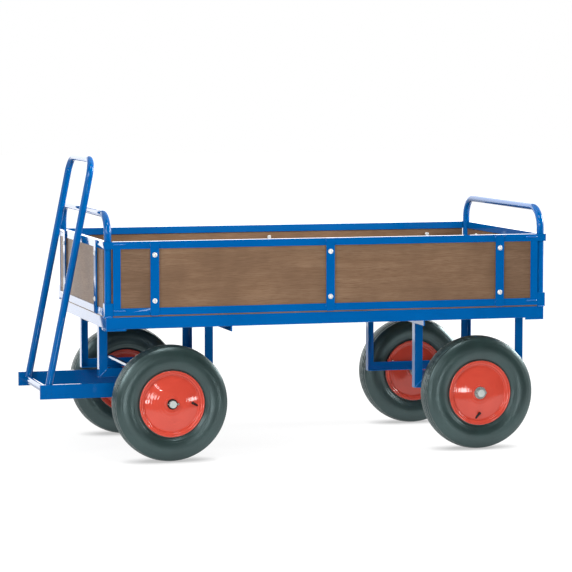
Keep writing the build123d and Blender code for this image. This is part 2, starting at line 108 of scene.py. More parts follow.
def mixed(tree, amount, first, second, blend="MIX"):
    # one colour into another; each is a colour or a socket
    node = tree.nodes.new("ShaderNodeMix")
    node.data_type = "RGBA"
    node.blend_type = blend
    tree.links.new(amount, node.inputs["Factor"])
    for socket, colour in ((node.inputs[6], first), (node.inputs[7], second)):
        if isinstance(colour, tuple):
            socket.default_value = (*colour, 1.0)
        else:
            tree.links.new(colour, socket)
    return node.outputs[2]


def worked(tree, operation, *values):
    # one sum; each value is a number or a socket
    node = tree.nodes.new("ShaderNodeMath")
    node.operation = operation
    for socket, value in zip(node.inputs, values):
        if isinstance(value, float):
            socket.default_value = value
        else:
            tree.links.new(value, socket)
    return node.outputs[0]


def fromMiddle(tree, coords, axis, middle):
    # distance from the middle along one axis
    apart = tree.nodes.new("ShaderNodeSeparateXYZ")
    tree.links.new(coords, apart.inputs[0])
    return worked(tree, "ABSOLUTE", worked(tree, "SUBTRACT", apart.outputs[axis], middle))


def raised(tree, shader, height, strength, depth):
    # small height pattern on the shader's normal
    node = tree.nodes.new("ShaderNodeBump")
    node.inputs["Strength"].default_value = strength
    node.inputs["Distance"].default_value = depth
    tree.links.new(height, node.inputs["Height"])
    tree.links.new(node.outputs["Normal"], shader.inputs["Normal"])


# Finishes: a pattern is its noise's scale, detail and roughness, and a range is where it starts and ends

mostOfNoise = (0.3, 0.7)
paintLook = {
    "blue": {"colour": (0.0, 0.092, 0.315), "drift": (0.0, 0.083, 0.288), "rough": 0.45, "coatIndex": 1.4},
    "red": {"colour": (0.54, 0.064, 0.040), "drift": (0.48, 0.052, 0.032), "rough": 0.35, "coatIndex": 1.5},
    "black": {"colour": (0.01, 0.01, 0.011), "drift": (0.022, 0.022, 0.023), "rough": 0.45, "coatIndex": 1.3},
}
enamelLook = {
    "drift": (5.0, 3.0), "driftRange": (0.35, 0.65),
    "rub": (38.0, 5.0), "rubRange": (0.50, 0.72), "rubbed": 0.16,
    "peel": (420.0, 2.0), "peelBump": 0.06, "peelDepth": 0.0004, "coatRough": 0.05,
}


def paint(name, look):
    # sprayed enamel: slow colour drift under a thin glossy skin that mirrors mostly at a slant
    mat, tree, shader, coords = newFinish(name)
    drift = spread(tree, noise(tree, coords, *enamelLook["drift"]), *enamelLook["driftRange"])
    tree.links.new(mixed(tree, drift, look["colour"], look["drift"]), shader.inputs["Base Color"])
    rub = noise(tree, coords, *enamelLook["rub"])
    rubbed = spread(tree, rub, *enamelLook["rubRange"], look["rough"], look["rough"] + enamelLook["rubbed"])
    tree.links.new(rubbed, shader.inputs["Roughness"])
    shader.inputs["Specular IOR Level"].default_value = 0.0
    shader.inputs["Coat Weight"].default_value = 1.0
    shader.inputs["Coat IOR"].default_value = look["coatIndex"]
    shader.inputs["Coat Roughness"].default_value = enamelLook["coatRough"]
    peel = noise(tree, coords, *enamelLook["peel"])
    raised(tree, shader, peel, enamelLook["peelBump"], enamelLook["peelDepth"])
    return mat


plyLook = {
    "face": (0.178, 0.104, 0.059), "dark": (0.126, 0.070, 0.038), "pale": (0.224, 0.138, 0.083),
    "cloud": (0.150, 0.088, 0.051), "scuff": (0.30, 0.215, 0.150), "gloss": 0.18, "roughRange": (0.38, 0.56),
    "fibres": (900.0, 4.0, 0.6), "fibrePull": 0.03, "fibreRange": (0.44, 0.70), "fibreDepth": 0.0005,
    "figure": (60.0, 4.0, 0.6), "figurePull": 0.06, "figureRange": (0.36, 0.66),
    "clouds": (5.5, 3.0, 0.6), "cloudRange": (0.42, 0.68),
    "scuffs": (46.0, 5.0, 0.7), "scuffPull": 0.18, "scuffRange": (0.66, 0.80), "scuffMost": 0.5,
    # ends and the range after it: painted shade, the colour multiplied onto the long boards towards their ends
    "ends": (0.80, 0.80, 0.82), "endShadeRange": (0.58, 0.66), "bumpAlong": 0.22, "bumpAcross": 0.6,
}


def grainNoise(tree, coords, grain, pull, pattern):
    # noise drawn out along the grain, where its coordinate is scaled by the pull
    scale = tuple(pull if axis == grain else 1.0 for axis in "XYZ")
    return noise(tree, stretched(tree, coords, scale), *pattern)


def ply(name, grain, bump):
    # ply with a brown stain: long fibres along the grain, broad figure, soft clouds, darker pores and pale scuffs,
    # and on the long boards painted shade towards their ends
    look = plyLook
    mat, tree, shader, coords = newFinish(name)
    shader.inputs["Specular IOR Level"].default_value = look["gloss"]
    fibres = grainNoise(tree, coords, grain, look["fibrePull"], look["fibres"])
    figure = grainNoise(tree, coords, grain, look["figurePull"], look["figure"])
    scuffs = grainNoise(tree, coords, grain, look["scuffPull"], look["scuffs"])
    clouds = noise(tree, coords, *look["clouds"])
    broad = mixed(tree, spread(tree, figure, *look["figureRange"]), look["pale"], look["face"])
    cloudy = mixed(tree, spread(tree, clouds, *look["cloudRange"]), broad, look["cloud"])
    grained = mixed(tree, spread(tree, fibres, *look["fibreRange"]), cloudy, look["dark"])
    scuffed = spread(tree, scuffs, *look["scuffRange"], 0.0, look["scuffMost"])
    colour = mixed(tree, scuffed, grained, look["scuff"])
    if grain == "X":
        # painted shade: the long boards darken towards both ends, standing in for the light falling off there
        deckLow, deckHigh = cornersOf("deck")
        out = fromMiddle(tree, coords, "X", (deckLow[0] + deckHigh[0]) / 2)
        endShadeMask = spread(tree, out, *look["endShadeRange"])
        colour = mixed(tree, endShadeMask, colour, look["ends"], "MULTIPLY")
    tree.links.new(colour, shader.inputs["Base Color"])
    tree.links.new(spread(tree, fibres, *mostOfNoise, *look["roughRange"]), shader.inputs["Roughness"])
    raised(tree, shader, fibres, bump, look["fibreDepth"])
    return mat


rubberLook = {
    "face": (0.008, 0.018, 0.017), "worn": (0.014, 0.030, 0.028), "tint": (0.76, 0.98, 1.0), "gloss": 0.9,
    "roughRange": (0.28, 0.38), "bloom": (14.0, 5.0), "bloomRange": (0.35, 0.68),
    "grain": (700.0, 2.0), "grainBump": 0.12, "grainDepth": 0.0004,
}


def rubber():
    # moulded rubber: bloom in soft clouds and a fine mould grain
    look = rubberLook
    mat, tree, shader, coords = newFinish("tyreRubber")
    bloom = spread(tree, noise(tree, coords, *look["bloom"]), *look["bloomRange"])
    tree.links.new(mixed(tree, bloom, look["face"], look["worn"]), shader.inputs["Base Color"])
    shader.inputs["Specular IOR Level"].default_value = look["gloss"]
    shader.inputs["Specular Tint"].default_value = (*look["tint"], 1.0)
    grain = noise(tree, coords, *look["grain"])
    tree.links.new(spread(tree, grain, *mostOfNoise, *look["roughRange"]), shader.inputs["Roughness"])
    raised(tree, shader, grain, look["grainBump"], look["grainDepth"])
    return mat


steelLook = {
    "bright": (0.46, 0.48, 0.47), "dull": (0.28, 0.30, 0.30), "zincRough": 0.30, "groundRough": 0.22,
    "clouds": (90.0, 4.0), "cloudRange": (0.35, 0.68), "scratch": (900.0, 2.0),
    "scratchPull": (1.0, 0.1, 1.0), "scratchBump": 0.08, "scratchDepth": 0.0002,
    "smoother": 0.08, "rougher": 0.12,
}


def plating(name, rough, bright, dull, metal=1.0):
    # zinc plate: crystal clouds and fine scratches
    look = steelLook
    mat, tree, shader, coords = newFinish(name)
    shader.inputs["Metallic"].default_value = metal
    clouds = spread(tree, noise(tree, coords, *look["clouds"]), *look["cloudRange"])
    tree.links.new(mixed(tree, clouds, bright, dull), shader.inputs["Base Color"])
    scratch = noise(tree, stretched(tree, coords, look["scratchPull"]), *look["scratch"])
    worn = spread(tree, scratch, *mostOfNoise, rough - look["smoother"], rough + look["rougher"])
    tree.links.new(worn, shader.inputs["Roughness"])
    raised(tree, shader, scratch, look["scratchBump"], look["scratchDepth"])
    return mat


axleLook = {
    "bare": 0.345, "edge": 0.002, "steel": (0.50, 0.54, 0.52), "metal": 0.4, "worn": (300.0, 3.0),
    "roughRange": (0.30, 0.44),
}


def axleSteel():
    # blue paint on the middle of the bar and bare steel beyond the hubs, by the distance from the middle
    look = axleLook
    mat, tree, shader, coords = newFinish("axleSteel")
    bare = spread(tree, fromMiddle(tree, coords, "Y", 0.0), look["bare"], look["bare"] + look["edge"])
    tree.links.new(mixed(tree, bare, paintLook["blue"]["drift"], look["steel"]), shader.inputs["Base Color"])
    tree.links.new(spread(tree, bare, 0.0, 1.0, 0.0, look["metal"]), shader.inputs["Metallic"])
    worn = noise(tree, coords, *look["worn"])
    tree.links.new(spread(tree, worn, *mostOfNoise, *look["roughRange"]), shader.inputs["Roughness"])
    return mat


finishes = {
    "blue_paint": paint("bluePaint", paintLook["blue"]),
    "red_paint": paint("redPaint", paintLook["red"]),
    "black_steel": paint("blackSteel", paintLook["black"]),
    "brown_ply": ply("plyAlong", "X", plyLook["bumpAlong"]),
    "tyre_rubber": rubber(),
    "zinc_steel": plating("zincPlate", steelLook["zincRough"], steelLook["bright"], steelLook["dull"]),
    "bearing_steel": plating("groundSteel", steelLook["groundRough"], steelLook["bright"], steelLook["dull"]),
}
finishes["tube_rubber"] = finishes["tyre_rubber"]
axleFinish = axleSteel()
plyAcross = ply("plyAcross", "Y", plyLook["bumpAcross"])


def finishFor(node):
    # a node's finish is its slot's, but end panels have their grain across and axles are part painted
    if node in ("front_end_panel", "rear_end_panel"):
        return plyAcross
    if node in ("front_axle", "rear_axle"):
        return axleFinish
    return finishes[slotOf[node]]


for name, thing in nodes.items():
    thing.data.materials.clear()
    thing.data.materials.append(finishFor(name))
print("finishes made")


# Surface helpers

flipAlong = np.array([1.0, -1.0])  # a (radius, along) pair to the other side
flipY = np.array([1.0, -1.0, 1.0])


def gridQuads(rows, cols, closeRows=False, closeCols=False):
    # corner numbers of the quads of a grid of points, joined end to start where asked
    rowStarts = np.arange(rows if closeRows else rows - 1)
    colStarts = np.arange(cols if closeCols else cols - 1)
    r, c = np.meshgrid(rowStarts, colStarts, indexing="ij")
    r2, c2 = (r + 1) % rows, (c + 1) % cols
    return np.stack([r * cols + c, r2 * cols + c, r2 * cols + c2, r * cols + c2], -1).reshape(-1, 4)


def tubeFaces(rings, sides):
    # quads between the rings of a closed section, and a cap on each end
    faces = gridQuads(rings, sides, False, True).tolist()
    faces.append(list(range(sides)))
    faces.append(list(range((rings - 1) * sides, rings * sides)))
    return faces


def finishPiece(name, mesh, finish, body, replaced, smoothAngle):
    # a mesh as a piece of the trolley: smooth up to an angle, with its finish, on its body
    mesh.materials.append(finish)
    mesh.shade_smooth()
    mesh.set_sharp_from_angle(angle=math.radians(smoothAngle))
    piece = newObject(name, mesh)
    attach(piece, body)
    if replaced:
        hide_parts(*replaced)
    return piece


def addPiece(name, points, faces, finish, body, replaced=(), smoothAngle=35.0):
    # a piece from an array of points and a list of faces, turned outwards
    mesh = bpy.data.meshes.new(name)
    mesh.from_pydata(np.asarray(points).reshape(-1, 3).tolist(), [], [list(map(int, f)) for f in faces])
    work = bmesh.new()
    work.from_mesh(mesh)
    bmesh.ops.recalc_face_normals(work, faces=work.faces)
    work.to_mesh(mesh)
    work.free()
    finishPiece(name, mesh, finish, body, replaced, smoothAngle)


def joinParts(parts):
    # several (points, faces) pairs as one, with the faces renumbered
    points, faces, start = [], [], 0
    for co, quads in parts:
        co = np.asarray(co).reshape(-1, 3)
        points.append(co)
        faces += [[int(i) + start for i in f] for f in quads]
        start += len(co)
    return np.concatenate(points), faces


def arcThrough(a, b, c, count):
    # evenly spaced points on the circle through a, b and c, from a to c
    a, b, c = (np.array(p, float) for p in (a, b, c))
    lhs = 2 * np.array([b - a, c - a])
    rhs = np.array([b @ b - a @ a, c @ c - a @ a])
    middle = np.linalg.solve(lhs, rhs)
    angles = np.unwrap([math.atan2(*(p - middle)[::-1]) for p in (a, b, c)])
    t = np.linspace(angles[0], angles[2], count)
    return middle + np.linalg.norm(a - middle) * np.stack([np.cos(t), np.sin(t)], -1)


def lathe(profile, steps):
    # profile of (radius, along) pairs turned about Y: x = r cos a, z = -r sin a
    a = np.linspace(0, 2 * np.pi, steps, endpoint=False)[:, None]
    r, y = profile[None, :, 0], profile[None, :, 1]
    return np.stack(np.broadcast_arrays(r * np.cos(a), y + 0 * a, -r * np.sin(a)), -1)


def closedLathe(profile, steps):
    # a profile that returns to its start, turned into a ring
    return lathe(profile, steps), gridQuads(steps, len(profile), True, True)


def poleLathe(profile, steps):
    # a profile from pole to pole; its first and last points lie on the axis
    ring = lathe(profile[1:-1], steps)
    count = len(profile) - 2
    points = np.concatenate([ring.reshape(-1, 3), [[0, profile[0, 1], 0], [0, profile[-1, 1], 0]]])
    faces = gridQuads(steps, count, True, False).tolist()
    around = np.arange(steps)
    after = (around + 1) % steps
    for edge, pole in ((0, steps * count), (count - 1, steps * count + 1)):
        faces += np.stack([around * count + edge, after * count + edge, np.full(steps, pole)], -1).tolist()
    return points, faces


def carried(path, across, section):
    # a closed section carried along a flat path; across is the normal of the path's plane
    tangent = np.gradient(path, axis=0)
    tangent /= np.linalg.norm(tangent, axis=1, keepdims=True)
    side = np.cross(tangent, across)
    rings = path[:, None] + section[None, :, :1] * side[:, None] + section[None, :, 1:] * np.asarray(across)
    return rings, tubeFaces(len(path), len(section))


def roundSection(radius, sides):
    # points of a circle: radius times cosine and sine
    t = np.linspace(0, 2 * np.pi, sides, endpoint=False)
    return radius * np.stack([np.cos(t), np.sin(t)], -1)


# Wheels

tyreLook = {
    "steps": 360, "flankSteps": 34, "treadSteps": 110, "innerSteps": 8, "radius": 0.200, "halfWidth": 0.050,
    "treadHalf": 0.037, "treadEdge": 0.0005, "shoulderDrop": 0.0055, "flankRadius": 0.154,
    "footRadius": 0.1165, "footHalf": 0.036, "beadRadius": 0.1017, "beadWidth": 0.010, "wall": 0.007,
    "grooves": (-0.0275, -0.0140, 0.0, 0.0140, 0.0275), "grooveHalf": 0.0022, "grooveDepth": 0.0030,
    "grooveReach": 1.6, "zigzag": 0.0022, "zigzags": 45,
    "rings": (0.1235, 0.1290, 0.1775), "ringDepth": 0.0009, "ringWidth": 0.0011,
}


def tyreSurface():
    # section: flank arc, tread arc, flank arc and an inner return; turned about Y, with zigzag grooves
    # sunk into the tread by depth times a bump of the distance to each groove's wavy line
    look = tyreLook
    wall = look["wall"]
    foot = (look["footRadius"], look["footHalf"])
    flank = (look["flankRadius"], look["halfWidth"])
    shoulder = (look["radius"] - look["shoulderDrop"], look["treadHalf"])
    crown = (look["radius"], 0.0)
    outerFlank = arcThrough(foot, flank, shoulder, look["flankSteps"])
    sunk = sum(np.exp(-((outerFlank[:, 0] - r) / look["ringWidth"]) ** 2) for r in look["rings"])
    outerFlank[:, 1] -= look["ringDepth"] * sunk
    tread = arcThrough(shoulder, crown, np.array(shoulder) * flipAlong, look["treadSteps"])
    bead = np.array([[look["beadRadius"], look["footHalf"]]])
    innerFoot = np.array([[look["beadRadius"], look["footHalf"] - look["beadWidth"]]])
    innerFlank = arcThrough((foot[0], foot[1] - wall), (flank[0], flank[1] - wall),
                            (shoulder[0] - wall, shoulder[1] - wall), look["innerSteps"])
    innerTop = arcThrough(innerFlank[-1], (crown[0] - wall, 0.0), innerFlank[-1] * flipAlong,
                          look["innerSteps"] + 1)[1:-1]
    farFlank, farInner = ((half * flipAlong)[::-1] for half in (outerFlank, innerFlank))
    inner = np.concatenate([innerFoot, innerFlank, innerTop, farInner, innerFoot * flipAlong])
    outer = np.concatenate([bead, outerFlank, tread[1:-1], farFlank, bead * flipAlong])
    profile = np.concatenate([outer, inner[::-1]])
    points, faces = closedLathe(profile, look["steps"])
    turn = np.linspace(0, 2 * np.pi, look["steps"], endpoint=False)[:, None]
    saw = 2 * np.abs((turn * look["zigzags"] / (2 * np.pi)) % 1.0 - 0.5) - 0.5
    onTread = (np.abs(profile[:, 1]) < look["treadHalf"]) & (profile[:, 0] > shoulder[0] - look["treadEdge"])
    depth = np.zeros(points.shape[:2])
    for y in look["grooves"]:
        off = np.abs(profile[None, :, 1] - y - 2 * look["zigzag"] * saw) / look["grooveHalf"]
        depth = np.maximum(depth, np.clip(look["grooveReach"] - off, 0, 1))
    scale = 1 - depth * onTread * look["grooveDepth"] / profile[:, 0]
    points[..., 0] *= scale
    points[..., 2] *= scale
    return points, faces


rimLook = {
    "steps": 160, "rollSteps": 16, "bendSteps": 6, "domeSteps": 60, "underSteps": 20,
    "sheet": 0.0025, "radius": 0.1015, "half": 0.036, "seatEase": 0.001,
    "lip": 0.114, "lipRoll": 0.0032, "lipOut": 0.8, "rollFrom": -80, "rollTo": 200,
    "rootRise": 0.002, "rootMiddle": (0.0025, 0.0005), "bend": 0.003, "bendMiddle": 0.0009,
    "well": 0.092, "wellAt": 0.026, "crownAt": 0.060, "crownRise": 0.0055, "top": 0.034,
    "ripple": 0.00007, "rippleLength": 0.0095,
}
hubLook = {
    "steps": 96, "radius": 0.024, "half": 0.040, "bore": 0.0175, "chamfer": 0.0008,
    "weld": 0.0022, "weldFoot": 0.001,
}


def rimHalf():
    # pressed half rim as a closed section: bead seat, rolled lip, barrel, rounded well and shallow dome,
    # with faint rings from the press: a sine of the radius
    look = rimLook
    radius, half, sheet = look["radius"], look["half"], look["sheet"]
    bend, ease, hub = look["bend"], look["seatEase"], hubLook["radius"]
    inside = radius - sheet
    wellFace = look["wellAt"] + sheet
    seat = np.array([[inside, 0.0], [radius, 0.0], [radius, half - ease], [radius + ease, half]])
    lipMiddle = np.array([look["lip"] - look["lipRoll"], half + look["lipRoll"] * look["lipOut"]])
    t = np.radians(np.linspace(look["rollFrom"], look["rollTo"], look["rollSteps"]))
    roll = lipMiddle + look["lipRoll"] * np.stack([np.cos(t), np.sin(t)], -1)
    rootMiddle = np.array([inside, half]) + look["rootMiddle"]
    root = arcThrough((lipMiddle[0] - look["lipRoll"], half + look["rootRise"]), rootMiddle,
                      (inside, half - bend), look["bendSteps"])
    wellMiddle = (inside - look["bendMiddle"], wellFace + look["bendMiddle"])
    well = arcThrough((inside, wellFace + bend), wellMiddle, (inside - bend, wellFace), look["bendSteps"])
    dome = arcThrough((look["well"], wellFace), (look["crownAt"], wellFace + look["crownRise"]),
                      (hub, look["top"] + sheet), look["domeSteps"])
    dome[:, 1] += look["ripple"] * np.sin(2 * np.pi * dome[:, 0] / look["rippleLength"])
    under = arcThrough((hub, look["top"]), (look["crownAt"], look["wellAt"] + look["crownRise"]),
                       (look["well"], look["wellAt"]), look["underSteps"])
    profile = np.concatenate([seat, roll, root, well, dome, under, [[inside, look["wellAt"]]]])
    return closedLathe(profile, look["steps"])


def hubTube():
    # hub with a small weld fillet where each dome meets it
    look = hubLook
    radius, end, chamfer, weld = look["radius"], look["half"], look["chamfer"], look["weld"]
    foot = rimLook["top"] + rimLook["sheet"]
    outer = np.array([[radius, 0.0], [radius, foot - look["weldFoot"]], [radius + weld, foot],
                      [radius, foot + weld], [radius, end - chamfer], [radius - chamfer, end]])
    inner = np.array([[look["bore"] + chamfer, end], [look["bore"], end - chamfer]])
    profile = np.concatenate([outer, inner, (inner * flipAlong)[::-1], (outer[1:] * flipAlong)[::-1]])
    return closedLathe(profile, look["steps"])


def wholeRim():
    # two halves back to back on the hub
    points, faces = rimHalf()
    return joinParts([(points, faces), (points * flipY, faces), hubTube()])


valveLook = {
    "steps": 24, "radius": 0.0045, "neck": 0.7, "flare": 0.9, "capRadius": 0.0048, "capTop": 0.8,
    "capFoot": 0.9, "capFrom": 0.0008, "capTo": 0.0080, "capEnd": 0.0088, "neckFrom": 0.0092,
    "neckTo": 0.0120, "stemFrom": 0.0130, "rootLength": 0.006,
    "tip": (0.069, 0.041, 0.013), "root": (0.1040, 0.0156, 0.0003),
    "angles": {"front_left": 9.0, "front_right": 140.0, "rear_left": 100.0, "rear_right": 205.0},
}


def valveStem():
    # rubber stem with a cap and a neck, turned about its own line and laid slanting from tip to root
    look = valveLook
    tip, root = np.array(look["tip"]), np.array(look["root"])
    length = np.linalg.norm(root - tip)
    way = (root - tip) / length
    across = np.cross(way, (0.0, 0.0, 1.0))
    across /= np.linalg.norm(across)
    third = np.cross(way, across)
    r, cap = look["radius"], look["capRadius"]
    profile = np.array([
        [0, 0], [cap * look["capTop"], 0], [cap, look["capFrom"]], [cap, look["capTo"]],
        [cap * look["capFoot"], look["capEnd"]], [r * look["neck"], look["neckFrom"]],
        [r * look["neck"], look["neckTo"]], [r * look["flare"], look["stemFrom"]],
        [r, length - look["rootLength"]], [r, length], [0, length],
    ])
    points, faces = poleLathe(profile, look["steps"])
    laid = tip + points[:, 1:2] * way + points[:, :1] * across + points[:, 2:] * third
    return laid, faces


def turnedWheel(points, wheel):
    # a wheel piece turned to its valve's angle, mirrored for the left side and carried to its axle
    a = math.radians(valveLook["angles"][wheel])
    x, y, z = np.moveaxis(np.asarray(points).reshape(-1, 3), -1, 0)
    side = -1.0 if wheel.endswith("left") else 1.0
    turned = np.stack([x * math.cos(a) + z * math.sin(a), y * side, z * math.cos(a) - x * math.sin(a)], -1)
    return turned + jointAt[wheel + "_roll"]


# name, shape, finish, slot and the node that it stands for
wheelPieces = (
    ("_tyre_ribbed", tyreSurface(), "tyre_rubber", "tyre_rubber", "_tyre"),
    ("_rim_pressed", wholeRim(), "red_paint", "red_paint", "_rim"),
    ("_valve", valveStem(), "black_steel", "tube_rubber", "_inner_tube"),
)
for wheel in wheelNames:
    for ending, (points, faces), finish, slot, node in wheelPieces:
        addPiece(wheel + ending, turnedWheel(points, wheel), faces, finishes[finish], wheel + "_wheel",
                 [wheel + node])
print("wheels made")


# Bent tubes: end hoops and handle

hoopLook = {"tube": 0.0125, "bend": 0.075, "sides": 40, "arcSteps": 20, "straightSteps": 12}
handleLook = {"tube": 0.0125, "bend": 0.058, "length": 0.811, "half": 0.185, "lean": 11.5}


def hoopPath(half, foot, top, bend):
    # up one leg, round a quarter circle, along the bar and down the other side, in the YZ plane
    t = np.linspace(0, np.pi / 2, hoopLook["arcSteps"])
    leg = np.linspace(foot, top - bend, hoopLook["straightSteps"])[:-1]
    corner = np.stack([-half + bend * (1 - np.cos(t)), top - bend + bend * np.sin(t)], -1)
    left = np.concatenate([np.stack([np.full_like(leg, -half), leg], -1), corner])
    across = np.linspace(-half + bend, half - bend, hoopLook["straightSteps"])[1:-1]
    bar = np.stack([across, np.full_like(across, top)], -1)
    right = (left * np.array([-1.0, 1.0]))[::-1]
    flat = np.concatenate([left, bar, right])
    return np.stack([np.zeros(len(flat)), flat[:, 0], flat[:, 1]], -1)


def endHoop(end):
    # upright hoop in the place of its node
    tube = hoopLook["tube"]
    low, high = cornersOf(end + "_hoop")
    path = hoopPath((high[1] - low[1]) / 2 - tube, low[2], high[2] - tube, hoopLook["bend"])
    path[:, 0] += (low[0] + high[0]) / 2
    points, faces = carried(path, (1.0, 0.0, 0.0), roundSection(tube, hoopLook["sides"]))
    addPiece(end + "_hoop_tube", points, faces, finishes["blue_paint"], "bed", [end + "_hoop"])


def handleHoop():
    # hoop that leans back from its pivot: height goes to sine and cosine of the lean
    lean = math.radians(handleLook["lean"])
    path = hoopPath(handleLook["half"], 0.0, handleLook["length"], handleLook["bend"])
    leanBack = np.stack([path[:, 2] * math.sin(lean), path[:, 1], path[:, 2] * math.cos(lean)], -1)
    points, faces = carried(leanBack + jointAt["handle_tilt"], (math.cos(lean), 0.0, -math.sin(lean)),
                            roundSection(handleLook["tube"], hoopLook["sides"]))
    addPiece("handle_hoop_tube", points, faces, finishes["blue_paint"], "handle",
             ["handle_hoop"])


for end in ("front", "rear"):
    endHoop(end)
handleHoop()
print("hoops and handle made")


# Bars, plates and panels: copies of the solids with their edges eased

easeLook = {
    "steel": 0.0009, "angle": 0.0012, "bar": 0.0022, "ply": 0.0008, "segments": 2,
    "merge": 1e-5, "flatAngle": 1.0, "smoothAngle": 30.0, "edgeAngle": 40.0,
}
easedNodes = {
    "bed_side_rails": "angle", "bed_end_rails": "angle", "bed_cross_members": "angle",
    "corner_gussets": "steel", "corner_sockets": "steel", "rear_frames": "angle", "front_frames": "angle",
    "front_braces": "steel", "drawbar_left": "bar", "drawbar_right": "bar", "drawbar_ties": "steel",
    "turntable_bearers": "steel", "turntable_upper_plate": "steel", "turntable_lower_plate": "steel",
    "deck": "ply",
}
for wall in wallNames:
    easedNodes[wall + "_frame"] = "steel"
    easedNodes[wall + "_panel"] = "ply"


def easedCopy(node, kind):
    # the node's triangles merged to whole faces, with a narrow rounded edge
    look = easeLook
    work = bmesh.new()
    work.from_mesh(nodes[node].data)
    bmesh.ops.remove_doubles(work, verts=work.verts, dist=look["merge"])
    bmesh.ops.dissolve_limit(work, angle_limit=math.radians(look["flatAngle"]), verts=work.verts,
                             edges=work.edges)
    mesh = bpy.data.meshes.new(node + "_eased")
    work.to_mesh(mesh)
    work.free()
    piece = finishPiece(node + "_eased", mesh, finishFor(node), bodyOf[node], [node],
                        look["smoothAngle"])
    rounding = piece.modifiers.new("easedEdges", "BEVEL")
    rounding.width = look[kind]
    rounding.segments = look["segments"]
    rounding.limit_method = "ANGLE"
    rounding.angle_limit = math.radians(look["edgeAngle"])
    rounding.harden_normals = True


for node, kind in easedNodes.items():
    easedCopy(node, kind)
print("bars and panels eased")


# Bolts of the walls

boltLook = {
    "inset": 0.008, "alongSide": 3, "alongEnd": 2, "steps": 32, "domeSteps": 9, "head": 0.0066,
    "height": 0.004, "headGap": 0.0002,
    "washer": 0.0086, "washerHeight": 0.0012, "washerEdge": 0.8, "washerEase": 0.0004,
    "nut": 0.0075, "nutSides": 6, "nutHeight": 0.0065, "nutEdge": 0.9, "nutTop": 0.98, "stud": 0.004,
    "bright": (0.78, 0.80, 0.79), "dull": (0.58, 0.60, 0.60), "rough": 0.30, "metal": 0.35,
}
boltPlate = plating("boltPlate", boltLook["rough"], boltLook["bright"], boltLook["dull"], boltLook["metal"])


def wallLay(wall):
    # the axis that a wall runs along, the axis that it faces, which way is out, and its bolts' places
    low, high = cornersOf(wall + "_bolts")
    run, normal = (0, 1) if wall.endswith("side") else (1, 0)
    outward = -1.0 if wall in ("left_side", "front_end") else 1.0
    count = boltLook["alongEnd"] if run else boltLook["alongSide"]
    places = np.linspace(low[run] + boltLook["inset"], high[run] - boltLook["inset"], count)
    return run, normal, outward, places


def boltHead():
    # low dome on a flat washer, turned about Y from its seat outwards
    look = boltLook
    head, washer, seat = look["head"], look["washer"], look["washerHeight"]
    t = np.linspace(np.pi / 2, 0, look["domeSteps"])
    dome = np.stack([head * np.sin(t), seat + (look["height"] - seat) * np.cos(t)], -1)
    start = np.array([[0, 0], [washer, 0], [washer, seat * look["washerEdge"]],
                      [washer - look["washerEase"], seat], [head + look["headGap"], seat]])
    return poleLathe(np.concatenate([start, dome]), look["steps"])


def boltNut():
    # hexagon nut with the end of the stud standing just proud of it, from the panel inwards
    look = boltLook
    nut, stud, high = look["nut"], look["stud"], look["nutHeight"]
    edge, top = high * look["nutEdge"], high * look["nutTop"]
    profile = np.array([[0, 0], [nut, 0], [nut, edge], [nut * look["nutEdge"], top], [stud, top],
                        [stud, high], [0, high]])
    return poleLathe(profile, look["nutSides"])


def boltSet(wall):
    # heads outside and nuts inside at every bolt of one wall, read from its solids' places
    low, high = cornersOf(wall + "_bolts")
    run, normal, outward, places = wallLay(wall)
    outer, inner = (high[normal], low[normal]) if outward > 0 else (low[normal], high[normal])
    ends = ((boltHead(), outer - outward * boltLook["height"], outward),
            (boltNut(), inner + outward * boltLook["nutHeight"], -outward))
    parts = []
    for along in places:
        for height in (low[2] + boltLook["inset"], high[2] - boltLook["inset"]):
            for (points, faces), face, way in ends:
                placed = np.zeros_like(points)
                placed[:, normal] = face + way * points[:, 1]
                placed[:, run] = along + points[:, 0]
                placed[:, 2] = height + points[:, 2]
                parts.append((placed, faces))
    points, faces = joinParts(parts)
    addPiece(wall + "_bolt_set", points, faces, boltPlate, "bed", [wall + "_bolts"])


for wall in wallNames:
    boltSet(wall)
print("bolts made")


# Welds

weldLook = {
    "radius": 0.0026, "sides": 10, "pitch": 0.0042, "ringsPerPitch": 4, "fewestRings": 8, "ripple": 0.22,
    "wander": 0.0005, "wanderPoints": 9, "seed": 40, "taper": 0.004, "endSize": 0.35, "smoothAngle": 60.0,
    "aside": (0.31, 0.22, 0.93), "inset": 0.002, "lift": 0.001, "frameAngle": 0.030, "socket": 0.029,
    # painted highlight: the beads' blue is lighter than the body paint, standing in for the light that their
    # rounded tops catch
    "paint": {"colour": (0.004, 0.120, 0.40), "drift": (0.002, 0.105, 0.36), "rough": 0.40, "coatIndex": 1.6},
}
strapLook = {
    "half": 0.015, "thickness": 0.005, "short": 0.009, "topDrop": 0.003, "footRise": 0.021,
    "tab": 0.044, "tabEnd": 0.028, "tabDrop": 0.009, "tabRise": 0.017,
}
weldSheenFinish = paint("weldPaintedSheen", weldLook["paint"])


def weldRun(start, end, seed):
    # a round bead from start to end whose radius ripples as it was laid and whose line wanders a little
    look = weldLook
    start, end = np.array(start, float), np.array(end, float)
    length = np.linalg.norm(end - start)
    steps = max(look["fewestRings"], int(length / look["pitch"] * look["ringsPerPitch"]))
    t = np.linspace(0, 1, steps)
    way = (end - start) / length
    across = np.cross(way, look["aside"])
    across /= np.linalg.norm(across)
    third = np.cross(way, across)
    knots = look["wanderPoints"]
    swings = np.random.default_rng(seed).normal(0, look["wander"], knots)
    swing = np.interp(t, np.linspace(0, 1, knots), swings)
    path = start + t[:, None] * (end - start) + swing[:, None] * across
    ripple = 1 + look["ripple"] * np.abs(np.sin(np.pi * t * length / look["pitch"]))
    taper = np.clip(np.minimum(t, 1 - t) * length / look["taper"], look["endSize"], 1)
    ring = roundSection(look["radius"], look["sides"])
    offsets = ring[:, :1] * across + ring[:, 1:] * third
    rings = path[:, None] + offsets[None] * (ripple * taper)[:, None, None]
    return rings, tubeFaces(steps, look["sides"])


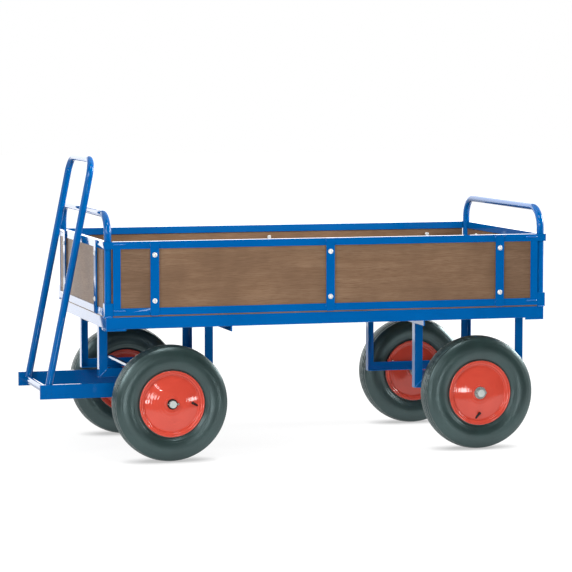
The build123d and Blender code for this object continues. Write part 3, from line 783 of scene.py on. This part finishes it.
def addWelds(name, runs, body):
    # all beads of one frame as one piece, each with a seed of its own
    points, faces = joinParts([weldRun(a, b, weldLook["seed"] + i) for i, (a, b) in enumerate(runs)])
    addPiece(name, points, faces, weldSheenFinish, body, (), weldLook["smoothAngle"])


def mitreRuns(node):
    # the diagonal across each lower corner of a leg frame, on both outer faces
    low, high = cornersOf(node)
    near = weldLook["inset"]
    far = weldLook["frameAngle"] - weldLook["lift"]
    runs = []
    for y in (low[1], high[1]):
        for x, way in ((low[0], 1), (high[0], -1)):
            runs.append(((x + way * near, y, low[2] + near), (x + way * far, y, low[2] + far)))
    return runs


def socketRuns():
    # along the foot of each corner socket, on its two outer faces
    low, high = cornersOf("corner_sockets")
    z = low[2] + weldLook["lift"]
    near = weldLook["inset"]
    far = weldLook["socket"] - weldLook["inset"]
    runs = []
    for x, wayX in ((low[0], 1), (high[0], -1)):
        for y, wayY in ((low[1], 1), (high[1], -1)):
            runs.append(((x + wayX * near, y, z), (x + wayX * far, y, z)))
            runs.append(((x, y + wayY * near, z), (x, y + wayY * far, z)))
    return runs


def strapRuns(wall):
    # short beads beside each strap on the two rails, one across its lower end, and tabs at a side's ends
    look = strapLook
    low, high = cornersOf(wall + "_frame")
    run, normal, outward, places = wallLay(wall)
    outer = high[normal] if outward > 0 else low[normal]
    half = look["half"]

    def bead(along, heights):
        # the two ends of a bead on the rails' outer face
        ends = np.zeros((2, 3))
        ends[:, run] = along
        ends[:, normal] = outer - outward * look["thickness"]
        ends[:, 2] = heights
        return ends[0], ends[1]

    runs = []
    for place in places:
        for way in (-1, 1):
            for top in (high[2] - look["topDrop"], low[2] + look["footRise"]):
                runs.append(bead(place + way * half, (top, top - look["short"])))
        runs.append(bead((place - half, place + half), low[2] + weldLook["lift"]))
    if wall.endswith("side"):
        middle = (low[run] + high[run]) / 2
        for way in (-1, 1):
            edge = middle + way * (high[run] - middle - look["tabEnd"])
            for height in (high[2] - look["tabDrop"], low[2] + look["tabRise"]):
                runs.append(bead((edge, edge - way * look["tab"]), height))
    return runs


addWelds("front_frame_welds", mitreRuns("front_frames"), "steering")
addWelds("rear_frame_welds", mitreRuns("rear_frames"), "bed")
addWelds("socket_welds", socketRuns(), "bed")
addWelds("strap_welds", [pair for wall in wallNames for pair in strapRuns(wall)], "bed")
print("welds made")


# Floor, light and camera

stageLook = {
    "white": 1.0, "worldLight": 0.45, "floorHalf": 30.0, "floorTone": 0.16, "bounce": 0.66,
    "floorGlow": 0.90, "glowRange": (0.9, 3.0),
    "contact": 0.07, "paintedShadowRange": (0.3, 0.95), "paintedShadowDark": 0.55,
}


def seenRays(tree):
    # 1 for what the camera sees, straight, in gloss or through glass, and 0 for light that falls on things
    path = tree.nodes.new("ShaderNodeLightPath")
    seen = worked(tree, "MAXIMUM", path.outputs["Is Camera Ray"], path.outputs["Is Glossy Ray"])
    return worked(tree, "MAXIMUM", seen, path.outputs["Is Transmission Ray"])


def matte(tree, tone):
    # a plain matte grey shader
    node = tree.nodes.new("ShaderNodeBsdfDiffuse")
    node.inputs["Color"].default_value = (tone, tone, tone, 1.0)
    return node.outputs[0]


def floorFinish():
    # pale floor that reads white to the camera and in gloss, and still takes the shadow: its glow grows
    #  with the distance from the middle, and a painted contact shadow lowers it close to what stands on it
    look = stageLook
    mat = bpy.data.materials.new("paleFloor")
    mat.use_nodes = True
    tree = mat.node_tree
    tree.nodes.remove(tree.nodes["Principled BSDF"])
    away = tree.nodes.new("ShaderNodeVectorMath")
    away.operation = "LENGTH"
    tree.links.new(tree.nodes.new("ShaderNodeTexCoord").outputs["Object"], away.inputs[0])
    level = spread(tree, away.outputs["Value"], *look["glowRange"], look["floorGlow"], look["white"])
    # painted contact shadow: ambient occlusion dims the floor's glow where the trolley stands close
    near = tree.nodes.new("ShaderNodeAmbientOcclusion")
    near.inputs["Distance"].default_value = look["contact"]
    clear = spread(tree, near.outputs["AO"], *look["paintedShadowRange"], look["paintedShadowDark"], 1.0)
    glow = tree.nodes.new("ShaderNodeEmission")
    tree.links.new(worked(tree, "MULTIPLY", level, clear), glow.inputs["Strength"])
    both = tree.nodes.new("ShaderNodeAddShader")
    tree.links.new(matte(tree, look["floorTone"]), both.inputs[0])
    tree.links.new(glow.outputs[0], both.inputs[1])
    choice = tree.nodes.new("ShaderNodeMixShader")
    tree.links.new(seenRays(tree), choice.inputs[0])
    tree.links.new(matte(tree, look["bounce"]), choice.inputs[1])
    tree.links.new(both.outputs[0], choice.inputs[2])
    tree.links.new(choice.outputs[0], tree.nodes["Material Output"].inputs["Surface"])
    return mat


def paleFloor():
    # one wide square under the wheels
    half = stageLook["floorHalf"]
    mesh = bpy.data.meshes.new("floor")
    corners = [(-half, -half, 0), (half, -half, 0), (half, half, 0), (-half, half, 0)]
    mesh.from_pydata(corners, [], [(0, 1, 2, 3)])
    mesh.materials.append(floorFinish())
    newObject("floor", mesh)


def whiteWorld():
    # white to the camera and in gloss, and a softer even light on everything else
    world = bpy.data.worlds.new("studio")
    bpy.context.scene.world = world
    world.use_nodes = True
    tree = world.node_tree
    back = tree.nodes["Background"]
    back.inputs["Color"].default_value = (1.0, 1.0, 1.0, 1.0)
    level = spread(tree, seenRays(tree), 0.0, 1.0, stageLook["worldLight"], stageLook["white"])
    tree.links.new(level, back.inputs["Strength"])


roomLook = {
    "half": 16.0, "near": -1.2, "wall": -12.0, "floor": 0.004, "ceiling": 7.0, "edge": -1.5, "tone": 0.03,
}


def darkRoom():
    # unlit studio in front of the trolley that only gloss sees: a strip of floor, a wall and a ceiling
    look = roomLook
    profile = ((look["near"], look["floor"]), (look["wall"], look["floor"]),
               (look["wall"], look["ceiling"]), (look["edge"], look["ceiling"]))
    points = [(x, y, z) for x in (-look["half"], look["half"]) for y, z in profile]
    mesh = bpy.data.meshes.new("darkRoom")
    mesh.from_pydata(points, [], [(0, 1, 5, 4), (1, 2, 6, 5), (2, 3, 7, 6)])
    mat, _, shader, _ = newFinish("roomBlack")
    shader.inputs["Base Color"].default_value = (look["tone"], look["tone"], look["tone"], 1.0)
    shader.inputs["Roughness"].default_value = 1.0
    shader.inputs["Specular IOR Level"].default_value = 0.0
    mesh.materials.append(mat)
    room = newObject("darkRoom", mesh)
    room.visible_camera = False
    room.visible_diffuse = False
    room.visible_transmission = False
    room.visible_shadow = False


# place, aim, width, height, power and whether gloss shows the lamp
lampLook = {
    "floorGlare": ((-1.9, 4.8, 0.01), (-1.9, 4.8, 1.0), 2.4, 5.0, 48, True),
    "backGlare": ((0.5, 8.0, 2.5), (0.2, 0.0, 0.6), 12.0, 5.0, 360, True),
    "frontWide": ((-2.9, -6.0, 2.5), (-0.8, 0.0, 0.4), 4.4, 1.2, 44, True),
    "lowFill": ((-1.6, -3.6, 0.35), (-0.5, 0.0, 0.3), 2.4, 0.6, 25, False),
    "bedFill": ((0.1, -0.36, 1.4), (0.1, 0.4, 0.7), 1.2, 0.2, 11, False),
    "leftKey": ((-4.2, -3.4, 3.0), (0.0, 0.0, 0.4), 0.6, 2.4, 108, True),
    "glintFront": ((-0.36, -6.2, 0.95), (0.0, 0.0, 0.3), 0.22, 0.20, 7, True),
    "lowRight": ((0.76, -2.2, 0.065), (0.76, 0.0, 0.065), 0.42, 0.12, 3.0, True),
    "lowMiddle": ((-0.66, -2.2, 0.21), (-0.66, 0.0, 0.21), 0.34, 0.14, 1.7, True),
    "lowLeft": ((-1.05, -2.2, 0.065), (-1.05, 0.0, 0.065), 0.50, 0.12, 3.8, True),
    "backFill": ((0.2, 6.0, 1.6), (0.0, 0.0, 0.4), 4.0, 1.2, 70, False),
    "tailKey": ((4.2, -0.35, 2.2), (0.2, 0.3, 0.7), 1.2, 1.2, 190, True),
    "topKey": ((-0.2, -2.4, 3.9), (-0.3, 0.0, 0.4), 1.1, 0.8, 36, True),
    "rightKey": ((4.4, -1.6, 1.9), (0.1, -0.4, 0.3), 0.8, 0.8, 10, True),
}


def aimed(thing, place, aim):
    # stands at its place and looks at its aim
    thing.location = place
    thing.rotation_euler = (Vector(aim) - Vector(place)).to_track_quat("-Z", "Y").to_euler()


def softBox(name, place, aim, width, height, power, inGloss):
    # one soft lamp; a fill lamp stays out of the gloss
    lamp = bpy.data.lights.new(name, "AREA")
    lamp.shape = "RECTANGLE"
    lamp.size = width
    lamp.size_y = height
    lamp.energy = power
    thing = newObject(name, lamp)
    aimed(thing, place, aim)
    thing.visible_camera = False
    thing.visible_glossy = inGloss


cameraLook = {
    "place": (-2.56555, -9.02931, 1.34983), "aim": (0.044155, 0.0, 0.557693), "focal": 2625.85,
    "picture": 572.0, "sensor": 36.0, "lowered": 0.5, "farthest": 100.0,
}


def photoCamera():
    # focal length and shift are in pixels of the picture, turned to sensor sizes
    look = cameraLook
    data = bpy.data.cameras.new("photoCamera")
    data.sensor_width = look["sensor"]
    data.lens = look["focal"] * look["sensor"] / look["picture"]
    data.shift_y = look["lowered"] / look["picture"]
    data.clip_end = look["farthest"]
    camera = newObject("photoCamera", data)
    aimed(camera, look["place"], look["aim"])
    bpy.context.scene.camera = camera


paleFloor()
whiteWorld()
darkRoom()
for name, look in lampLook.items():
    softBox(name, *look)
photoCamera()
bpy.context.scene.view_settings.view_transform = "Standard"
print("stage set")
